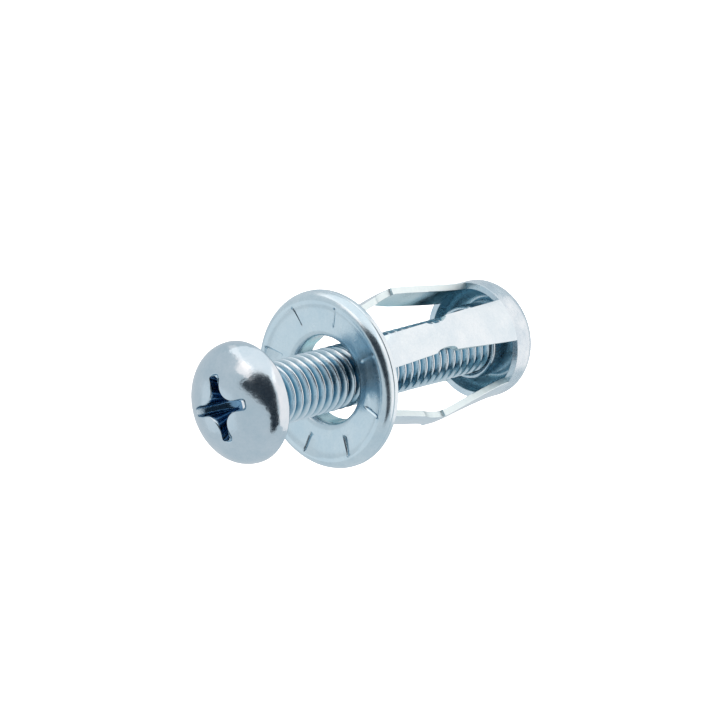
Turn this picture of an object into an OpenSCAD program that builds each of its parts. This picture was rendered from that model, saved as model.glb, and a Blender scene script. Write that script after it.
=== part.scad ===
// Folding-leg wall anchor: a stamped sheet sleeve (flange, four two-part legs, domed
// threaded cap) and a pan-head screw with a cross recess.
// The anchor's axis is +Y: the screw head is at -Y, the cap at +Y. The origin is on the
// axis in the plane of the flange rim that rests on the wall.

/* [Sheet] */
// thickness of the stamped sheet
sheet = 0.7; // [0.6:0.05:0.75]
// running gap between a rolled fold and the part it turns in
gap = 0.05; // [0.04:0.01:0.08]

/* [Flange] */
// outer radius of the flange rim
flange_r = 8.4; // [8.2:0.05:8.8]
// height of the raised bead of the flange in front of the wall plane
flange_h = 1.4; // [1.3:0.05:1.5]
// radius of the hole through the flange and collar
hole_r = 4.07; // [3.9:0.01:4.1]
// number of pressed barbs round the flange
barbs = 8; // [4:1:10]
// radial middle of the barbs
barb_r = 6.1; // [6:0.05:6.2]

/* [Legs] */
// direction of the first leg round the axis, in degrees from +X towards +Z
leg_turn = 32; // [0:1:89]
// radius of the fold lines at the collar and at the cap
fold_r = 4.75; // [4.7:0.01:4.8]
// distance of the collar fold line behind the wall plane
hip_y = 1.4; // [1.3:0.05:1.6]
// distance of the cap fold line behind the wall plane
ankle_y = 20.0; // [18:0.1:22]
// radius of the fold line at the knee
knee_r = 5.95; // [5.6:0.05:6.4]
// width of the front half of a leg
front_w = 3.0; // [2.6:0.1:3.2]
// width of the rear half of a leg at the knee
rear_w_knee = 3.4; // [3.0:0.1:3.6]
// width of the rear half of a leg at the cap
rear_w_cap = 4.3; // [4.0:0.1:4.4]
// radius of the half-round notches in both edges of the knee
notch_r = 0.55; // [0.4:0.05:0.6]

/* [Cap] */
// outer radius of the cap
cap_r = 5.68; // [5.6:0.02:5.9]
// length of the straight wall of the cap
cap_wall = 1.4; // [1.3:0.1:2]
// axial height of the dome
dome_h = 3.0; // [2.8:0.1:3.6]
// length of the threaded boss inside the cap
boss_len = 4.7; // [4:0.1:4.8]

/* [Screw] */
// major radius of the screw thread
thread_r = 2.97; // [2.9:0.01:2.97]
// distance between neighbouring thread crests
pitch = 1.0; // [0.8:0.1:1.25]
// distance of the underside of the head in front of the wall plane
head_gap = 11.35; // [4:0.05:12]
// length of the screw under its head
screw_len = 35; // [30:1:40]
// radius of the pan head
head_r = 5.75; // [5.6:0.05:6]
// height of the pan head
head_h = 3.7; // [3.4:0.1:4.2]
// turn of the cross recess round the axis, in degrees from +X towards +Z
recess_turn = 17; // [0:1:89]

/* [Hidden] */
// centre line of the knee fold
knee_y = (hip_y + ankle_y) / 2;
// inner face of the sheet at the collar fold, at the knee and at the cap fold
hip_in = fold_r - 0.83;
knee_in = knee_r + 0.05;
ankle_in = fold_r + 0.05;
// radii of the rolled folds
hip_bead = 0.83;
knee_bead = sheet + 0.05;
ankle_bead = sheet + 0.05;
// plane of the head's underside and end of the screw
seat_y = -head_gap;
tip_y = seat_y + screw_len;
// mean slope of the thread flanks
thread_depth = 0.58 * pitch;
// radius of the bore in the boss
bore_r = thread_r + 0.06;
dome_y = ankle_y + cap_wall;

// a solid of revolution round the anchor's axis; points are [radius, distance along +Y]
module turned(points) {
  rotate([-90, 0, 0]) rotate_extrude($fn = 96) polygon(points);
}

// turns a shape made in the plane of one leg (X outwards, Y along the axis, Z across) to its place
module at_leg(n) {
  rotate([0, -(leg_turn + 90 * (n - 1)), 0]) children();
}

// a flat strip whose side view is the outline, as wide as the two half widths given
module strip(outline, y0, half0, y1, half1) {
  intersection() {
    translate([0, 0, -4]) linear_extrude(height = 8) polygon(outline);
    translate([2, 0, 0]) rotate([90, 0, 90]) linear_extrude(height = 7)
      polygon([[y0, -half0], [y1, -half1], [y1, half1], [y0, half0]]);
  }
}

// a rolled fold: a round bead along the fold line
module bead(r, y, radius, width) {
  translate([r, y, -width / 2]) cylinder(r = radius, h = width, $fn = 48);
}

// a half-round notch pressed through one edge of a leg
module notch(side, half) {
  translate([4, knee_y - 0.55, side * (half + 0.15)]) rotate([0, 90, 0])
    cylinder(r = notch_r, h = 4, $fn = 32);
}

// one pressed barb: a small ramp standing out of the back of the dished face
module barb() {
  translate([barb_r - 0.9, 0, 0]) rotate([90, 0, 90]) linear_extrude(height = 1.8)
    polygon([[-0.85, -0.05], [-0.04, -0.05], [-0.04, 0.1], [-0.85, 0.85]]);
}

// the front end of the sleeve: rolled rim, dished face, hole with a short collar, barbs
module flange() {
  color([0.80, 0.84, 0.88]) union() {
    difference() {
      turned([
        [flange_r, 0], [flange_r, -0.5], [flange_r - 0.07, -0.72], [flange_r - 0.25, -flange_h + 0.4],
        [flange_r - 0.5, -flange_h + 0.16], [flange_r - 0.75, -flange_h + 0.03], [flange_r - 1.0, -flange_h],
        [flange_r - 1.25, -flange_h + 0.04], [flange_r - 1.45, -flange_h + 0.12],
        [hole_r + 0.88, -0.98], [hole_r + 0.45, -0.88], [hole_r + 0.13, -0.62], [hole_r, -0.25],
        [hole_r, hip_y], [hole_r + sheet - 0.05, hip_y], [hole_r + sheet - 0.05, -0.05],
        [hole_r + 0.95, -0.3], [flange_r - 1.5, -flange_h + 0.82], [flange_r - 1.2, -flange_h + 0.73],
        [flange_r - 0.95, -flange_h + 0.72], [flange_r - sheet - 0.05, -0.52], [flange_r - sheet, -0.3],
        [flange_r - sheet, 0]
      ]);
      // clearance for the rolled folds of the legs
      for (n = [1:4]) at_leg(n) {
        bead(fold_r, hip_y, hip_bead + gap, front_w + 2 * gap);
        translate([2, hip_y - 0.45, -front_w / 2 - gap]) cube([fold_r - 2, 3, front_w + 2 * gap]);
      }
      // the radial slit in front of each barb
      for (i = [0:barbs - 1]) rotate([0, -(leg_turn - 2 + i * 360 / barbs), 0])
        translate([barb_r - 0.9, -1.95, -0.11]) cube([1.8, 0.97, 0.16]);
    }
    for (i = [0:barbs - 1]) rotate([0, -(leg_turn - 2 + i * 360 / barbs), 0]) barb();
  }
}

// the half of a leg between the collar and the knee
module front_leg(n) {
  color([0.84, 0.87, 0.90]) at_leg(n) difference() {
    union() {
      strip([[hip_in, hip_y], [hip_in + sheet, hip_y], [knee_in + sheet, knee_y], [knee_in, knee_y]],
            hip_y, front_w / 2, knee_y, front_w / 2);
      bead(fold_r, hip_y, hip_bead, front_w);
      bead(knee_r, knee_y, knee_bead, front_w - 0.2);
    }
    notch(1, front_w / 2);
    notch(-1, front_w / 2);
  }
}

// the half of a leg between the knee and the cap
module rear_leg(n) {
  color([0.84, 0.87, 0.90]) at_leg(n) union() {
    difference() {
      strip([[knee_in, knee_y], [knee_in + sheet, knee_y], [ankle_in + sheet, ankle_y], [ankle_in, ankle_y]],
            knee_y, rear_w_knee / 2, ankle_y, rear_w_cap / 2);
      bead(knee_r, knee_y, knee_bead + gap, 8);
    }
    bead(fold_r, ankle_y, ankle_bead, rear_w_cap);
  }
}

// the rear end of the sleeve: short wall, flattened dome and an inward threaded boss
module cap() {
  inner = cap_r - sheet;
  outer_dome = [for (a = [0:6:54]) [cap_r * cos(a), dome_y + dome_h * sin(a)]];
  inner_dome = [for (a = [36:-6:0]) [inner * cos(a), dome_y + (dome_h - sheet) * sin(a)]];
  tip = dome_y + dome_h * sin(54);
  color([0.82, 0.85, 0.89]) difference() {
    turned(concat(
      [[inner, ankle_y], [cap_r, ankle_y]], outer_dome,
      [[bore_r + 0.12, tip + 0.08], [bore_r, tip - 0.05], [bore_r, tip - boss_len],
       [bore_r + 0.52, tip - boss_len], [bore_r + 0.52, dome_y + 0.9]],
      inner_dome));
    for (n = [1:4]) at_leg(n) {
      bead(fold_r, ankle_y, ankle_bead + gap, rear_w_cap + 2 * gap);
      translate([fold_r, ankle_y - 1, -rear_w_cap / 2 - gap])
        cube([3, 1 + ankle_bead + gap, rear_w_cap + 2 * gap]);
    }
  }
}

// one wing pair of the cross recess, cut from the front of the head
module wings() {
  rotate([90, 0, 0]) linear_extrude(height = 1.15, center = true)
    polygon([[-3.35, -0.5], [3.35, -0.5], [3.1, 1.2], [1.5, 2.7], [-1.5, 2.7], [-3.1, 1.2]]);
}

// pan-head screw, threaded up to the head; the thread is a row of rings of the real pitch
module screw() {
  top = seat_y - head_h;
  dome = [for (a = [84:-7:0]) [head_r * cos(a), seat_y - 0.85 - (head_h - 0.85) * sin(a)]];
  turns = floor((screw_len - 1.2) / pitch);
  rings = [for (i = [0:turns - 1]) each [
    [thread_r - thread_depth, seat_y + 0.35 + i * pitch],
    [thread_r, seat_y + 0.35 + (i + 0.42) * pitch],
    [thread_r, seat_y + 0.35 + (i + 0.56) * pitch]]];
  color([0.78, 0.83, 0.88]) difference() {
    turned(concat([[0, top]], dome, [[head_r - 0.03, seat_y - 0.45], [head_r - 0.15, seat_y - 0.16], [head_r - 0.38, seat_y], [thread_r - thread_depth, seat_y]],
      rings, [[thread_r - thread_depth, seat_y + 0.35 + turns * pitch],
              [thread_r - thread_depth - 0.2, tip_y], [0, tip_y]]));
    rotate([-90, 0, 0]) translate([0, 0, top]) rotate([0, 0, -recess_turn]) {
      wings();
      rotate([0, 0, 90]) wings();
      translate([0, 0, -0.5]) cylinder(r1 = 1.75, r2 = 0.7, h = 3.5, $fn = 48);
    }
  }
}

flange();
front_leg(1);  // front_leg_1
front_leg(2);  // front_leg_2
front_leg(3);  // front_leg_3
front_leg(4);  // front_leg_4
rear_leg(1);  // rear_leg_1
rear_leg(2);  // rear_leg_2
rear_leg(3);  // rear_leg_3
rear_leg(4);  // rear_leg_4
cap();
screw();
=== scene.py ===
import math
import bpy
import bmesh
import numpy as np
from mathutils import Matrix, Vector
from mathutils.geometry import tessellate_polygon


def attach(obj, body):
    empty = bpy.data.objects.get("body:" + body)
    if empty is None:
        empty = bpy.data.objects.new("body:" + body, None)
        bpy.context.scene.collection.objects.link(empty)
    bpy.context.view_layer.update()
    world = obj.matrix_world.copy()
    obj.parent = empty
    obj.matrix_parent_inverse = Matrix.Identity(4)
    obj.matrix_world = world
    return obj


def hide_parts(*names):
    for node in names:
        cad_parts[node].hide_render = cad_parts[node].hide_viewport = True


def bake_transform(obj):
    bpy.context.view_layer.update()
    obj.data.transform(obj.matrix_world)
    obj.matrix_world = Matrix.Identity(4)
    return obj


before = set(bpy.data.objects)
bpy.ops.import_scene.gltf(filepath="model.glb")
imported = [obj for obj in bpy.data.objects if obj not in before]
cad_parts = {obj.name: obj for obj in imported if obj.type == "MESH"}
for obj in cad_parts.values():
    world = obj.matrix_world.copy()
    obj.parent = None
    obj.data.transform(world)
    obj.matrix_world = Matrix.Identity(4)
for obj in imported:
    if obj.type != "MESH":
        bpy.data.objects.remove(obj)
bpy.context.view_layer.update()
MM = 0.001

# ---------------------------------------------------------------- dimensions, millimetres
TURN = 32.0            # direction of leg 1 round the axis, from +X towards +Z
SHEET = 0.66
HOLE = 4.07
COLLAR = HOLE + SHEET  # outer radius of the collar
CAP = 5.70             # outer radius of the cap
HIP, KNEE, ANKLE = 1.4, 10.7, 20.0
FOLD_R, KNEE_R = 4.75, 5.95
FOLD = 77.0
SPLIT = 15.0           # plane where a leg's two pieces meet
COLLAR_HALF = 1.62     # half width of a leg at the collar, along the sheet
CAP_HALF = CAP * math.radians(22.5)
SLIT0 = TURN - 2.0


def smooth(t):
    t = np.clip(t, 0.0, 1.0)
    return t * t * (3 - 2 * t)


# side view of a leg: outer radius of the sheet along the axis, with soft bends
_ys = np.arange(-2.0, 24.0, 0.01)
_raw = np.where(
    _ys < 1.1, COLLAR,
    np.where(_ys < 10.55, COLLAR + (6.70 - COLLAR) * (_ys - 1.1) / (10.55 - 1.1),
             CAP + (6.70 - CAP) * (np.clip(20.0 - _ys, 0, None) / 9.45) ** 1.3))
_k = np.exp(-0.5 * (np.arange(-120, 121) * 0.01 / 0.22) ** 2)
_k /= _k.sum()
_soft = np.convolve(np.pad(_raw, 120, mode="edge"), _k, mode="valid")


def r_out(y):
    return np.interp(y, _ys, _soft)


def curv(y):
    """Curvature of the sheet across a leg: round at the collar and the cap, nearly flat at the knee."""
    y = np.asarray(y, float)
    a = 1 / COLLAR + (0.075 - 1 / COLLAR) * smooth((y - 1.4) / 3.2)
    b = 0.045 + (1 / CAP - 0.045) * smooth((y - 11.0) / 8.8)
    return np.where(y < 6.0, a, np.where(y < 11.0, 0.075 + (0.045 - 0.075) * (y - 6) / 5, b))


def half_width(y):
    y = np.asarray(y, float)
    front = COLLAR_HALF + (1.50 - COLLAR_HALF) * np.clip((y - HIP) / 7.4, 0, 1)
    rear = 1.70 + (CAP_HALF - 1.71) * np.clip((y - 10.5) / (20.0 - 10.5), 0, 1)
    line = np.where(y < 9.34, front, rear)
    d = (y - 9.34) / 1.16
    notch = np.where(np.abs(d) < 1, 1.62 - 0.42 * np.sqrt(np.clip(1 - d * d, 0, None)), 9.0)
    return np.minimum(line, notch)


TWIST = {1: (0.085, 0.0), 2: (0.075, -1.5), 3: (0.085, 0.0), 4: (0.115, 1.5)}     # slope across the front part, and the edge that stays


def sheet_xz(y, t, depth, leg=1):
    """Point of the sheet in a leg's own plane: outwards, across; t is along the sheet, depth from its outer face."""
    k = curv(y)
    ang = k * t
    slope, hold = TWIST.get(leg, (0.0, 0.0))
    lean = slope * (t - hold) * smooth((y - 1.5) / 3.0) * (1 - smooth((y - 9.6) / 3.4))
    return r_out(y) - 1 / k + (1 / k - depth) * np.cos(ang) + lean, (1 / k - depth) * np.sin(ang)


def to_world(x, y, z, deg):
    a = math.radians(deg)
    return np.stack([x * math.cos(a) - z * math.sin(a), y + 0 * x, x * math.sin(a) + z * math.cos(a)], -1)


# ---------------------------------------------------------------- mesh helpers
def new_object(name, verts_mm, faces, smooth_shade=True, inner=None, cut=None):
    me = bpy.data.meshes.new(name)
    me.from_pydata([tuple(v) for v in np.asarray(verts_mm, float) * MM], [], [tuple(int(i) for i in f) for f in faces])
    if inner is not None:                     # marks the inner faces, which the sheet and cap materials tint a deeper teal: painted shade for the light bounced between the metal faces
        at = me.attributes.new("inner", "FLOAT", "POINT")
        at.data.foreach_set("value", [float(v) for v in inner])
    if cut is not None:                       # faces with the second material, the sheared edge
        me.polygons.foreach_set("material_index", [int(v) for v in cut])
    me.validate()
    bm = bmesh.new()
    bm.from_mesh(me)
    bmesh.ops.remove_doubles(bm, verts=bm.verts, dist=1e-9)
    loose = [v for v in bm.verts if not v.link_faces]
    if loose:
        bmesh.ops.delete(bm, geom=loose, context="VERTS")
    bmesh.ops.recalc_face_normals(bm, faces=bm.faces)
    for f in bm.faces:
        f.smooth = smooth_shade
    bm.to_mesh(me)
    bm.free()
    ob = bpy.data.objects.new(name, me)
    bpy.context.scene.collection.objects.link(ob)
    return ob


def sharpen(ob, degrees=35):
    """Edges sharper than the angle split the shading."""
    bm = bmesh.new()
    bm.from_mesh(ob.data)
    lim = math.radians(degrees)
    for e in bm.edges:
        if len(e.link_faces) == 2 and e.calc_face_angle(0) > lim:
            e.smooth = False
    bm.to_mesh(ob.data)
    bm.free()


def bevel(ob, width_mm, segments=2, degrees=50):
    m = ob.modifiers.new("edge", "BEVEL")
    m.width = width_mm * MM
    m.segments = segments
    m.limit_method = "ANGLE"
    m.angle_limit = math.radians(degrees)
    m.harden_normals = True
    m.use_clamp_overlap = True
    return m


def catmull(points, n):
    p = np.asarray(points, float)
    q = np.vstack([2 * p[0] - p[1], p, 2 * p[-1] - p[-2]])
    out = []
    for i in range(1, len(q) - 2):
        for s in np.linspace(0, 1, n, endpoint=False):
            out.append(0.5 * ((2 * q[i]) + (-q[i - 1] + q[i + 1]) * s
                              + (2 * q[i - 1] - 5 * q[i] + 4 * q[i + 1] - q[i + 2]) * s ** 2
                              + (-q[i - 1] + 3 * q[i] - 3 * q[i + 1] + q[i + 2]) * s ** 3))
    out.append(p[-1])
    return np.array(out)


# ---------------------------------------------------------------- legs
US = np.linspace(-1, 1, 19)


def leg_piece(name, deg, ys, leg):
    """A length of one leg's sheet: outer and inner faces, and its cut side edges below the cap's rim."""
    ys = np.asarray(ys, float)
    n, m = len(ys), len(US)
    hw = half_width(ys)
    verts = []
    for depth in (0.0, SHEET):
        for i, y in enumerate(ys):
            x, z = sheet_xz(y, US * hw[i], depth, leg)
            verts.append(to_world(x, y, z, deg))
    verts = np.concatenate(verts)
    at = lambda s, i, j: s * n * m + i * m + j
    faces, cut = [], []
    for i in range(n - 1):
        for j in range(m - 1):
            faces.append((at(0, i, j), at(0, i, j + 1), at(0, i + 1, j + 1), at(0, i + 1, j)))
            faces.append((at(1, i, j), at(1, i + 1, j), at(1, i + 1, j + 1), at(1, i, j + 1)))
            cut += [0, 0]
        if ys[i + 1] <= ANKLE + 1e-6:
            faces.append((at(0, i, 0), at(0, i + 1, 0), at(1, i + 1, 0), at(1, i, 0)))
            faces.append((at(0, i, m - 1), at(1, i, m - 1), at(1, i + 1, m - 1), at(0, i + 1, m - 1)))
            cut += [1, 1]
    return new_object(name, verts, faces, inner=np.repeat([0.0, 1.0], n * m), cut=cut)


def steps(*spans):
    out = []
    for a, b, d in spans:
        k = max(1, int(round((b - a) / d)))
        out += list(np.linspace(a, b, k, endpoint=False))
    return np.array(out + [spans[-1][1]])


FRONT_ROWS = steps((HIP, 3.0, 0.1), (3.0, 8.1, 0.25), (8.1, 8.3, 0.02), (8.3, 8.6, 0.04), (8.6, 10.2, 0.08),
                   (10.2, 10.44, 0.04), (10.44, 10.56, 0.012), (10.56, 11.04, 0.034),
                   (11.04, 12.0, 0.12), (12.0, SPLIT, 0.25))
REAR_ROWS = steps((SPLIT, 17.8, 0.28), (17.8, ANKLE, 0.07))

shell_pieces = []
for n in (1, 2, 3, 4):
    deg = TURN + 90 * (n - 1)
    a = math.radians(deg)
    front = leg_piece(f"leg_{n}_front_and_knee", deg, FRONT_ROWS, n)
    bevel(front, 0.07)
    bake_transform(front)
    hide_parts(f"front_leg_{n}")
    rear = leg_piece(f"leg_{n}_rear_and_ankle", deg, REAR_ROWS, n)
    bevel(rear, 0.07)
    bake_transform(rear)
    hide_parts(f"rear_leg_{n}")
    # the bend at the collar: the sheet that shows as the leg folds outwards, inside the leg at rest
    bend_v, bend_f = [], []
    betas = np.radians(np.linspace(0, FOLD, 19))
    ds = (0.02, SHEET - 0.02)
    tt = US * (COLLAR_HALF - 0.015)
    for d in ds:
        x, z = sheet_xz(HIP, tt, d)
        rho = FOLD_R - x
        for b in betas:
            bend_v.append(to_world(FOLD_R - rho * math.cos(b), HIP + rho * math.sin(b), z, deg))
    bend_v = np.concatenate(bend_v)
    nb, m = len(betas), len(US)
    at = lambda s, i, j: s * nb * m + i * m + j
    for i in range(nb - 1):
        for j in range(m - 1):
            bend_f.append((at(0, i, j), at(0, i, j + 1), at(0, i + 1, j + 1), at(0, i + 1, j)))
            bend_f.append((at(1, i, j), at(1, i + 1, j), at(1, i + 1, j + 1), at(1, i, j + 1)))
        bend_f.append((at(0, i, 0), at(0, i + 1, 0), at(1, i + 1, 0), at(1, i, 0)))
        bend_f.append((at(0, i, m - 1), at(1, i, m - 1), at(1, i + 1, m - 1), at(0, i + 1, m - 1)))
    for i in (0, nb - 1):
        for j in range(m - 1):
            bend_f.append((at(0, i, j), at(0, i, j + 1), at(1, i, j + 1), at(1, i, j)))
    bend = new_object(f"leg_{n}_collar_bend", bend_v, bend_f, inner=np.repeat([0.0, 1.0], nb * m))
    sharpen(bend)
    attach(bend, "flange")
    shell_pieces += [front, rear, bend]

# ---------------------------------------------------------------- cap
sector = []
for n in range(4):
    c = TURN + 90 * n
    for u in US[:-1]:
        sector.append((c + 22.5 * u, True))
    for u in np.linspace(0, 1, 19)[:-1]:
        sector.append((c + 22.5 + 45.0 * u, False))
az = np.radians([s[0] for s in sector])
is_leg = [s[1] for s in sector]
DOME_Y, DOME_H = 21.35, 3.02
IN = CAP - SHEET
outer = [(CAP, y) for y in (20.0, 20.1, 20.2, 20.3, 20.4, 20.6, 20.8, 21.0, 21.2)]
outer += [(CAP * math.cos(t), DOME_Y + DOME_H * math.sin(t)) for t in np.radians(np.linspace(0, 50, 21))]
lip = catmull([(CAP * math.cos(math.radians(50)), DOME_Y + DOME_H * math.sin(math.radians(50))), (3.42, 23.80),
               (3.20, 23.80), (3.07, 23.68), (3.03, 23.48)], 3)[1:]
bore_pts = [(3.03, y) for y in np.linspace(23.3, 19.3, 12)]
boss = [(3.05, 19.14), (3.14, 19.04), (3.30, 19.00), (3.44, 19.04), (3.52, 19.14), (3.54, 19.35)]
boss += [(3.54, y) for y in (20.0, 20.8, 21.6, 22.1)]
inner_fillet = catmull([(3.54, 22.1), (3.60, 22.55), (3.80, 22.80), (4.10, 22.72)], 3)[1:]
inner = [(IN * math.cos(t), DOME_Y + (DOME_H - SHEET) * math.sin(t)) for t in np.radians(np.linspace(34, 0, 12))]
inner += [(IN, y) for y in (21.2, 21.0, 20.8, 20.6, 20.4, 20.3, 20.2, 20.1, 20.0)]
prof = [tuple(p) for p in outer] + [tuple(p) for p in lip] + bore_pts + boss + [tuple(p) for p in inner_fillet] + inner
verts, faces = [], []
N = len(az)
for r, y in prof:
    verts.append(np.stack([r * np.cos(az), np.full(N, y), r * np.sin(az)], -1))
verts = np.concatenate(verts)
P = len(prof)
for i in range(P):
    i2 = (i + 1) % P
    for j in range(N):
        j2 = (j + 1) % N
        leg_cell = is_leg[j]
        if leg_cell and i == P - 1:       # under a leg the rim carries on as the leg's own sheet
            continue
        faces.append((i * N + j, i * N + j2, i2 * N + j2, i2 * N + j))
cap = new_object("cap_dome_and_boss", verts, faces,
                 inner=np.repeat([1.0 if i >= P - len(inner) - 2 else 0.0 for i in range(P)], N))
bevel(cap, 0.07, degrees=60)
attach(cap, "cap")
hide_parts("cap")
shell_pieces.append(cap)

# ---------------------------------------------------------------- flange
half = math.degrees(COLLAR_HALF / COLLAR)
slits = [29.0, 76.5, 119.5, 163.0, 208.0, 253.0, 297.5, 343.0]
cols = set(np.round(np.arange(0, 360, 1.875), 4))
for s in slits:
    cols = {c for c in cols if abs((c - s + 180) % 360 - 180) > 1.2}
    cols |= {round((s + d) % 360, 4) for d in (-0.95, -0.45, -0.06, 0.06, 0.45, 0.95)}
edges_ = [round((TURN + 90 * n + k * half) % 360, 4) for n in range(4) for k in (-1, 1)]
for s in edges_:
    cols = {c for c in cols if abs((c - s + 180) % 360 - 180) > 0.5 or any(abs((c - q + 180) % 360 - 180) < 1.1 for q in slits)}
    cols.add(s)
cols = np.array(sorted(cols))
R = 8.4
front_pts = [(HOLE, -0.25), (HOLE + 0.05, -0.50), (HOLE + 0.22, -0.76), (HOLE + 0.52, -0.92), (HOLE + 0.95, -0.99),
             (5.6, -1.08), (6.3, -1.18), (6.75, -1.25), (7.0, -1.31), (7.22, -1.385), (7.45, -1.42), (7.7, -1.385),
             (7.95, -1.26), (8.15, -1.05), (8.29, -0.80), (8.345, -0.60), (8.335, -0.52)]
front_pts = catmull(front_pts, 3)
wall = [(8.395, -0.47), (R, -0.42), (R, -0.2), (R, -0.06), (8.37, 0.0)]
back = [(8.2, 0.0), (7.95, 0.0), (7.80, -0.03), (7.72, -0.12), (7.70, -0.30), (7.66, -0.50), (7.5, -0.66), (7.3, -0.74),
        (7.1, -0.69), (6.9, -0.62), (6.5, -0.545), (6.1, -0.48), (5.7, -0.42), (5.4, -0.38), (5.15, -0.33), (4.95, -0.24), (4.80, -0.08), (COLLAR, 0.15)]
collar_out = [(COLLAR, y) for y in (0.5, 0.9, 1.2, HIP)]
collar_in = [(HOLE, y) for y in (HIP, 1.1, 0.8, 0.45, 0.1)]
loop = collar_in + [tuple(p) for p in front_pts] + wall + back + collar_out
P = len(loop)
end_row = P - 1                       # from the collar's outer end back to its inner end


def tooth(r, deg, back_side):
    """Depth that the pressed ramps sink into the face, at a radius and an angle."""
    best = 0.0
    along = smooth((r - 5.35) / 0.35) * (1 - smooth((r - 7.2) / 0.35))
    for s in slits:
        d = (deg - s + 180) % 360 - 180
        if 0.0 < d < 19.0:
            across = (1 - d / 19.0) ** 1.1
            depth = (0.10 if 20 < s < 130 else 0.27) * (1 - 0.45 * (r - 5.4) / 1.8)
            best = max(best, depth * across * along)
        if abs(d) < 0.95:
            best += 0.12 * (1 - abs(d) / 0.95) * along
    return float(best)


N = len(cols)
verts = np.zeros((P, N, 3))
for i, (r, y) in enumerate(loop):
    is_front = 5 <= i < 5 + len(front_pts)
    is_back = i >= 5 + len(front_pts) + len(wall)
    for j, c in enumerate(cols):
        dy = 0.0
        if (is_front or is_back) and 5.0 < r < 7.5:
            dy = tooth(r, c, is_back)
        a = math.radians(c)
        verts[i, j] = (r * math.cos(a), y + dy, r * math.sin(a))
faces = []
for i in range(P):
    i2 = (i + 1) % P
    for j in range(N):
        j2 = (j + 1) % N
        if i == end_row:
            mid = (cols[j] + ((cols[j2] - cols[j]) % 360) / 2) % 360
            if any(abs((mid - TURN - 90 * n + 180) % 360 - 180) < half for n in range(4)):
                continue
        faces.append((i * N + j, i * N + j2, i2 * N + j2, i2 * N + j))
flange = new_object("flange_with_collar", verts.reshape(-1, 3), faces,
                    inner=np.repeat([1.0 if r < HOLE + 0.03 else 0.0 for r, y in loop], N))
sharpen(flange, 40)
bevel(flange, 0.05, degrees=58)
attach(flange, "flange")
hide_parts("flange")
shell_pieces.append(flange)

# ---------------------------------------------------------------- screw
SEAT, LEN, PITCH, MAJOR = -11.35, 35.0, 1.0, 2.97
TIP = SEAT + LEN
ROOT = MAJOR - 0.60 * PITCH
PHASE = 0.35
M, TH = 20, 96


def thread_r(ph):
    """Radius of the rolled thread over one pitch: small crest, straight flanks, round root."""
    ph = (ph + 0.5) % 1.0 - 0.5
    d = np.abs(ph)
    crest, foot = 0.075, 0.405
    s = np.clip((d - crest) / (foot - crest), 0, 1)
    s = 0.86 * s + 0.14 * smooth(s)
    return MAJOR - (MAJOR - ROOT) * s


verts, faces = [], []
K = int((LEN + 2.5 * PITCH) / PITCH * M)
y0 = SEAT - 1.2 * PITCH
ks = np.arange(K + 1)
for j in range(TH + 1):
    th = -2 * math.pi * j / TH
    y = y0 + PITCH * (ks / M + j / TH)
    r = thread_r(ks / M + PHASE)
    r = np.minimum(r, ROOT - 0.12 + np.clip(TIP - y, 0, None) * 0.9)      # chamfered end
    fade = smooth((y - SEAT - 0.15) / 1.1)                                # run-out under the head
    r = ROOT + 0.04 + (r - ROOT - 0.04) * np.where(y < SEAT + 1.4, fade, 1.0)
    verts.append(np.stack([r * math.cos(th), y, r * math.sin(th)], -1))
verts = np.concatenate(verts)
for j in range(TH):
    for k in range(K):
        a = j * (K + 1) + k
        b = (j + 1) * (K + 1) + k
        faces.append((a, a + 1, b + 1, b))
me = bpy.data.meshes.new("thread")
me.from_pydata([tuple(v) for v in verts * MM], [], faces)
bm = bmesh.new()
bm.from_mesh(me)
bmesh.ops.remove_doubles(bm, verts=bm.verts, dist=2e-6)
geom = bm.verts[:] + bm.edges[:] + bm.faces[:]
bmesh.ops.bisect_plane(bm, geom=geom, plane_co=(0, TIP * MM, 0), plane_no=(0, 1, 0), clear_outer=True)
rim = [e for e in bm.edges if e.is_boundary and all(abs(v.co.y - TIP * MM) < 1e-8 for v in e.verts)]
made = bmesh.ops.contextual_create(bm, geom=rim)
geom = bm.verts[:] + bm.edges[:] + bm.faces[:]
bmesh.ops.bisect_plane(bm, geom=geom, plane_co=(0, (SEAT - 0.2) * MM, 0), plane_no=(0, -1, 0), clear_outer=True)
bmesh.ops.recalc_face_normals(bm, faces=bm.faces)
for f in bm.faces:
    f.smooth = len(f.verts) <= 4
for e in bm.edges:
    if any(len(f.verts) > 4 for f in e.link_faces):
        e.smooth = False
bm.to_mesh(me)
bm.free()
# painted shade: 0 at the thread's root, 1 at its crest; the thread material darkens the grooves with it
crest = me.attributes.new("crest", "FLOAT", "POINT")
crest.data.foreach_set("value", [min(1.0, max(0.0, (math.hypot(v.co.x, v.co.z) / MM - ROOT) / (MAJOR - ROOT))) for v in me.vertices])
for v in me.vertices:                         # the flat end takes the crests' colour, without the painted groove shade
    if v.co.y > (TIP - 0.02) * MM:
        crest.data[v.index].value = 0.85
thread = bpy.data.objects.new("screw_thread", me)
bpy.context.scene.collection.objects.link(thread)
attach(thread, "screw")

# head: rings from the bottom of the cross recess, up its walls, over the dome and round to the underside
HEAD_R, HEAD_H, SIDE = 5.67, 3.66, 0.50
RECESS = 17.0


def dome_depth(r):
    """Distance of the dome's surface behind its top, at radius r."""
    flat = np.clip(np.asarray(r, float) / HEAD_R, 0, 1)
    return (HEAD_H - SIDE) * (1 - np.sqrt(np.clip(1 - flat ** 2.05, 0, 1)))


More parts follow.
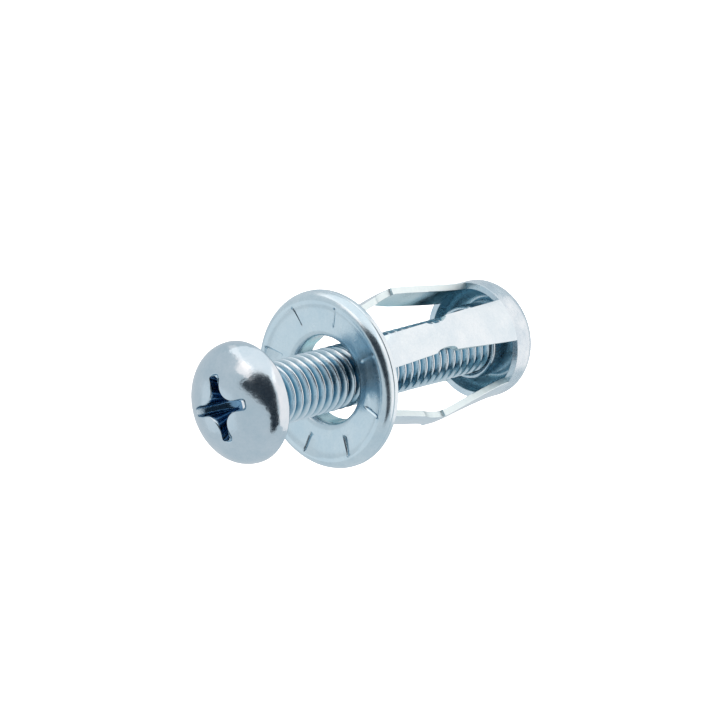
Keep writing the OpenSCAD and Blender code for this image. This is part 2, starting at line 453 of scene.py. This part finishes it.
def cross(length, half, fillet, n_tip=5, n_side=7, n_arc=9):
    """One closed outline of a four-wing cross: wing tips, sides and rounded inner corners."""
    pts = []
    c = half + fillet
    corner = min(half * 0.55, length * 0.12)
    for q in range(4):
        one = []
        for t in np.linspace(-math.pi / 2, 0, n_tip)[:-1] + math.pi / 2:   # rounded corner at the tip, first side
            pass
        tip = [(length, s) for s in np.linspace(-(half - corner), half - corner, n_tip)]
        arc1 = [(length - corner + corner * math.sin(t), half - corner + corner * math.cos(t))
                for t in np.linspace(math.pi / 2, 0, 4)[1:]]
        side = [(x, half) for x in np.linspace(length - corner, c, n_side)[1:]]
        bend = [(c - fillet * math.sin(t), c - fillet * math.cos(t)) for t in np.linspace(0, math.pi / 2, n_arc)[1:]]
        side2 = [(half, x) for x in np.linspace(c, length - corner, n_side)[1:]]
        arc0 = [(half - corner + corner * math.sin(t), length - corner + corner * math.cos(t))
                for t in np.linspace(math.pi / 2, 0, 4)[1:]]
        one = tip + arc1 + side + bend + side2 + arc0[:-1]
        rot = math.radians(90 * q)
        for x, z in one:
            pts.append((x * math.cos(rot) - z * math.sin(rot), x * math.sin(rot) + z * math.cos(rot)))
    return np.array(pts)


def grow(p, d):
    """The outline moved outwards by d."""
    t = np.roll(p, -1, 0) - np.roll(p, 1, 0)
    t /= np.linalg.norm(t, axis=1)[:, None]
    return p + d * np.stack([t[:, 1], -t[:, 0]], -1)


levels = [  # depth below the top of the dome, wing length, half width, fillet
    (3.05, 0.62, 0.38, 0.10), (2.95, 0.95, 0.40, 0.16), (2.60, 1.40, 0.41, 0.36), (2.0, 1.95, 0.42, 0.66),
    (1.45, 2.36, 0.435, 0.95), (0.95, 2.66, 0.45, 1.18), (0.50, 2.88, 0.465, 1.36), (0.24, 2.99, 0.475, 1.44)]
rings = []
for depth, L, h, f in levels:
    p = cross(L, h, f)
    rings.append(np.c_[p, np.full(len(p), depth)])
mouth = cross(3.07, 0.485, 1.48)
rr = np.hypot(mouth[:, 0], mouth[:, 1])
for grown, sunk in ((-0.005, 0.12), (0.02, 0.055), (0.06, 0.018), (0.12, 0.0)):
    p = grow(mouth, grown)
    rings.append(np.c_[p, dome_depth(np.hypot(p[:, 0], p[:, 1])) + sunk])
base = grow(mouth, 0.12)
base_r = np.hypot(base[:, 0], base[:, 1])
base_a = np.unwrap(np.arctan2(base[:, 1], base[:, 0]))
even_a = np.linspace(base_a[0], base_a[0] + 2 * math.pi, len(base), endpoint=False)
for s in np.sin(np.linspace(0, math.pi / 2, 17))[1:]:
    ang = base_a * (1 - 0.75 * s) + even_a * 0.75 * s
    r = base_r + (HEAD_R - base_r) * s
    rings.append(np.c_[r * np.cos(ang), r * np.sin(ang), dome_depth(r)])
last = rings[-1].copy()
ua = np.arctan2(last[:, 1], last[:, 0])
for r, d in ((HEAD_R + 0.01, HEAD_H - SIDE + 0.10), (HEAD_R, HEAD_H - 0.28), (HEAD_R - 0.06, HEAD_H - 0.14), (HEAD_R - 0.17, HEAD_H - 0.04),
             (HEAD_R - 0.32, HEAD_H), (4.4, HEAD_H), (3.2, HEAD_H), (2.75, HEAD_H + 0.01), (2.52, HEAD_H + 0.09), (2.42, HEAD_H + 0.26)):
    rings.append(np.c_[r * np.cos(ua), r * np.sin(ua), np.full(len(ua), d)])
n = len(rings[0])
allv = [np.array([[0, 0, 3.12]])] + rings
flat = np.concatenate(allv)
rot = math.radians(RECESS)
X = flat[:, 0] * math.cos(rot) - flat[:, 1] * math.sin(rot)
Z = flat[:, 0] * math.sin(rot) + flat[:, 1] * math.cos(rot)
Y = SEAT - HEAD_H + flat[:, 2]
faces = []
for j in range(n):
    faces.append((0, 1 + j, 1 + (j + 1) % n))
for i in range(len(rings) - 1):
    a, b = 1 + i * n, 1 + (i + 1) * n
    for j in range(n):
        j2 = (j + 1) % n
        faces.append((a + j, b + j, b + j2, a + j2))
head = new_object("screw_head", np.stack([X, Y, Z], -1), faces)
sharpen(head, 50)
# painted shade: depth inside the cross recess, which the head material uses to darken the recess walls to deep navy
sunk = head.data.attributes.new("sunk", "FLOAT", "POINT")
sunk.data.foreach_set("value", [max(0.0, (v.co.y / MM - (SEAT - HEAD_H)) - float(dome_depth(math.hypot(v.co.x, v.co.z) / MM)))
                                if math.hypot(v.co.x, v.co.z) / MM < 3.6 and v.co.y / MM < SEAT - 0.4 else 0.0 for v in head.data.vertices])
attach(head, "screw")
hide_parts("screw")

# ---------------------------------------------------------------- materials
def nodes_of(name):
    mat = bpy.data.materials.new(name)
    mat.use_nodes = True
    nt = mat.node_tree
    nt.nodes.clear()
    return mat, nt


def zinc(name, lo, hi, rough_lo, rough_hi, mottle, grain, stretch=(1, 1, 1), size=420.0, tone=None):
    """Bright zinc plate: bluish metal with cloudy tone and gloss, crystal grain and fine rub marks."""
    mat, nt = nodes_of(name)
    N, L = nt.nodes, nt.links
    out = N.new("ShaderNodeOutputMaterial")
    bsdf = N.new("ShaderNodeBsdfPrincipled")
    L.new(bsdf.outputs[0], out.inputs[0])
    bsdf.inputs["Metallic"].default_value = 1.0
    tc = N.new("ShaderNodeTexCoord")
    mp = N.new("ShaderNodeMapping")
    mp.inputs["Scale"].default_value = stretch
    L.new(tc.outputs["Object"], mp.inputs[0])
    cloud = N.new("ShaderNodeTexNoise")
    cloud.inputs["Scale"].default_value = size
    cloud.inputs["Detail"].default_value = 4.0
    cloud.inputs["Roughness"].default_value = 0.6
    L.new(mp.outputs[0], cloud.inputs["Vector"])
    crystal = N.new("ShaderNodeTexNoise")
    crystal.inputs["Scale"].default_value = 3600.0
    crystal.inputs["Detail"].default_value = 3.0
    L.new(mp.outputs[0], crystal.inputs["Vector"])
    ramp = N.new("ShaderNodeValToRGB")
    ramp.color_ramp.elements[0].position = 0.34
    ramp.color_ramp.elements[0].color = (*lo, 1)
    ramp.color_ramp.elements[1].position = 0.66
    ramp.color_ramp.elements[1].color = (*hi, 1)
    mixf = N.new("ShaderNodeMix")
    mixf.data_type = "FLOAT"
    mixf.inputs[0].default_value = 0.25
    L.new(cloud.outputs["Fac"], mixf.inputs[2])
    L.new(crystal.outputs["Fac"], mixf.inputs[3])
    L.new(mixf.outputs[0], ramp.inputs[0])
    if tone is None:
        L.new(ramp.outputs[0], bsdf.inputs["Base Color"])
    else:                                     # painted shade: the colour is mixed towards a darker one with a stored depth or height
        attr, at_lo, at_hi, painted_shade_colour = tone
        an = N.new("ShaderNodeAttribute")
        an.attribute_name = attr
        mr = N.new("ShaderNodeMapRange")
        mr.interpolation_type = "SMOOTHSTEP"
        mr.inputs[1].default_value = at_lo
        mr.inputs[2].default_value = at_hi
        L.new(an.outputs["Fac"], mr.inputs[0])
        mx = N.new("ShaderNodeMix")
        mx.data_type = "RGBA"
        mx.inputs[6].default_value = (*painted_shade_colour, 1)
        L.new(mr.outputs[0], mx.inputs[0])
        L.new(ramp.outputs[0], mx.inputs[7])
        L.new(mx.outputs[2], bsdf.inputs["Base Color"])
    rr_ = N.new("ShaderNodeMapRange")
    rr_.inputs[1].default_value = 0.3
    rr_.inputs[2].default_value = 0.7
    rr_.inputs[3].default_value = rough_lo
    rr_.inputs[4].default_value = rough_hi
    L.new(mixf.outputs[0], rr_.inputs[0])
    L.new(rr_.outputs[0], bsdf.inputs["Roughness"])
    b1 = N.new("ShaderNodeBump")
    b1.inputs["Strength"].default_value = mottle
    b1.inputs["Distance"].default_value = 0.00006
    L.new(cloud.outputs["Fac"], b1.inputs["Height"])
    b2 = N.new("ShaderNodeBump")
    b2.inputs["Strength"].default_value = grain
    b2.inputs["Distance"].default_value = 0.00001
    L.new(crystal.outputs["Fac"], b2.inputs["Height"])
    L.new(b1.outputs[0], b2.inputs["Normal"])
    L.new(b2.outputs[0], bsdf.inputs["Normal"])
    return mat


# painted shade: the sheet and the cap take a flat deeper teal on their inner faces, for the shade and bounced light
# inside the sleeve
sheet_mat = zinc("zinc_sheet", (0.53, 0.69, 0.785), (0.64, 0.785, 0.86), 0.17, 0.29, 0.40, 0.45,
                 tone=("inner", 1.0, 0.92, (0.47, 0.70, 0.77)))
cap_mat = zinc("zinc_cap", (0.45, 0.60, 0.70), (0.66, 0.79, 0.86), 0.20, 0.34, 0.60, 0.70, size=520.0,
               tone=("inner", 1.0, 0.92, (0.46, 0.67, 0.76)))
# painted shade: the head darkens towards navy from 0.12 mm down into the cross recess, fully at 1 mm
head_mat = zinc("zinc_head", (0.49, 0.63, 0.72), (0.59, 0.71, 0.79), 0.11, 0.21, 0.55, 0.80,
                tone=("sunk", 1.0, 0.12, (0.17, 0.33, 0.50)))
# painted shade and highlight: the thread darkens to deep blue towards its roots, and its zinc colours are set lighter
# than the sheet's for bright crests
thread_mat = zinc("zinc_thread", (0.54, 0.71, 0.81), (0.74, 0.86, 0.93), 0.12, 0.26, 0.60, 0.80,
                  tone=("crest", 0.10, 1.0, (0.13, 0.32, 0.44)))
edge_mat = zinc("zinc_cut_edge", (0.64, 0.82, 0.88), (0.76, 0.92, 0.96), 0.40, 0.56, 0.50, 0.80, stretch=(1.0, 2.5, 1.0))
for o in shell_pieces:
    o.data.materials.append(cap_mat if o is cap else sheet_mat)
    if o.name.startswith("leg_") and "collar" not in o.name:
        o.data.materials.append(edge_mat)
head.data.materials.append(head_mat)
thread.data.materials.append(thread_mat)
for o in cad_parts.values():
    o.data.materials.clear()
    o.data.materials.append(sheet_mat)

# ---------------------------------------------------------------- floor, light, camera
floor_mesh = bpy.data.meshes.new("floor")
F = 3.0
floor_mesh.from_pydata([(-F, -F, 0), (F, -F, 0), (F, F, 0), (-F, F, 0)], [], [(0, 1, 2, 3)])
floor = bpy.data.objects.new("floor", floor_mesh)
floor.location = (0, 0, -0.034)
bpy.context.scene.collection.objects.link(floor)
fm, nt = nodes_of("floor")
o_ = nt.nodes.new("ShaderNodeOutputMaterial")
b_ = nt.nodes.new("ShaderNodeBsdfPrincipled")
b_.inputs["Base Color"].default_value = (0.93, 0.93, 0.93, 1)
b_.inputs["Roughness"].default_value = 0.9
b_.inputs["Emission Color"].default_value = (1, 1, 1, 1)
b_.inputs["Emission Strength"].default_value = 0.95
nt.links.new(b_.outputs[0], o_.inputs[0])
floor.data.materials.append(fm)
floor.visible_glossy = False

world = bpy.data.worlds.new("studio")
bpy.context.scene.world = world
world.use_nodes = True
bg = world.node_tree.nodes["Background"]
bg.inputs[0].default_value = (0.97, 0.98, 1.0, 1)
bg.inputs[1].default_value = 0.74


def place(ob, az, el, distance):
    """Put an object in a direction seen from the part, az from -Y towards +X, facing the part."""
    a, e = math.radians(az), math.radians(el)
    d = Vector((math.sin(a) * math.cos(e), -math.cos(a) * math.cos(e), math.sin(e)))
    ob.location = d * distance
    ob.rotation_mode = "QUATERNION"
    ob.rotation_quaternion = d.to_track_quat("Z", "Y")
    bpy.context.scene.collection.objects.link(ob)


def spread(degrees, distance):
    return 2 * distance * math.tan(math.radians(degrees) / 2)


def softbox(name, az, el, wide, high, radiance, colour=(1, 1, 1), distance=0.5):
    li = bpy.data.lights.new(name, "AREA")
    li.shape = "RECTANGLE"
    li.size, li.size_y = spread(wide, distance), spread(high, distance)
    li.energy = radiance * math.pi * li.size * li.size_y
    li.color = colour
    ob = bpy.data.objects.new(name, li)
    ob.visible_camera = False
    place(ob, az, el, distance)
    return ob


WARM = (1.0, 0.68, 0.55)
softbox("side_right", 132, 8, 92, 92, 0.66, WARM)
softbox("top_front", -12, 42, 22, 26, 0.85, WARM)
softbox("top_left", -55, 54, 76, 12, 0.32, WARM)
softbox("top", 60, 86, 76, 84, 0.48, (1.0, 0.85, 0.78), 0.6)
softbox("front_low", -46, -16, 46, 34, 0.14, distance=0.55)


def card(name, outline, shade, distance=0.42):
    """A plain card the metal reflects, cut to an outline given in directions from the part; unseen by the camera."""
    flat = [Vector((a, e, 0)) for a, e in outline]
    tris = tessellate_polygon([flat])
    pts = []
    for az, el in outline:
        a, e = math.radians(az), math.radians(el)
        pts.append((math.sin(a) * math.cos(e) * distance, -math.cos(a) * math.cos(e) * distance, math.sin(e) * distance))
    me = bpy.data.meshes.new(name)
    me.from_pydata(pts, [], [tuple(t) for t in tris])
    ob = bpy.data.objects.new(name, me)
    bpy.context.scene.collection.objects.link(ob)
    m, nt = nodes_of(name)
    o = nt.nodes.new("ShaderNodeOutputMaterial")
    b = nt.nodes.new("ShaderNodeBsdfPrincipled")
    b.inputs["Base Color"].default_value = (*shade, 1)
    b.inputs["Roughness"].default_value = 0.9
    b.inputs["Specular IOR Level"].default_value = 0.1
    nt.links.new(b.outputs[0], o.inputs[0])
    ob.data.materials.append(m)
    ob.visible_camera = False
    ob.visible_shadow = False
    ob.visible_diffuse = False
    return ob


card("card_lens", [(-14, 15), (-12, 20), (-1, 28), (20, 47), (45, 52), (71, 50), (76, 25), (76, -8), (87, -28), (72, -42), (56, -43),
                   (46, -14), (34, -3), (14, 4)], (0.015, 0.022, 0.03))

scene = bpy.context.scene
scene.view_settings.view_transform = "Standard"
scene.view_settings.look = "None"
cam_data = bpy.data.cameras.new("camera")
cam = bpy.data.objects.new("camera", cam_data)
scene.collection.objects.link(cam)
scene.camera = cam
SC = 1.04
AZ, EL, ROLL = math.radians(42.353), math.radians(14.209), 0.0028
DIST = 350 * SC
TX, TZ = 2.5752 * SC, 1.6494 * SC
backv = Vector((math.sin(AZ) * math.cos(EL), -math.cos(AZ) * math.cos(EL), math.sin(EL)))
rightv = Vector((math.cos(AZ), math.sin(AZ), 0))
upv = backv.cross(rightv)
r2 = rightv * math.cos(ROLL) + upv * math.sin(ROLL)
u2 = -rightv * math.sin(ROLL) + upv * math.cos(ROLL)
loc = (backv * DIST + r2 * TX + u2 * TZ) * MM
cam.matrix_world = Matrix(((r2.x, u2.x, backv.x, loc.x), (r2.y, u2.y, backv.y, loc.y), (r2.z, u2.z, backv.z, loc.z), (0, 0, 0, 1)))
cam_data.sensor_width = 36.0
cam_data.lens = 3932.623 / 720 * 36.0
cam_data.clip_start, cam_data.clip_end = 0.01, 20
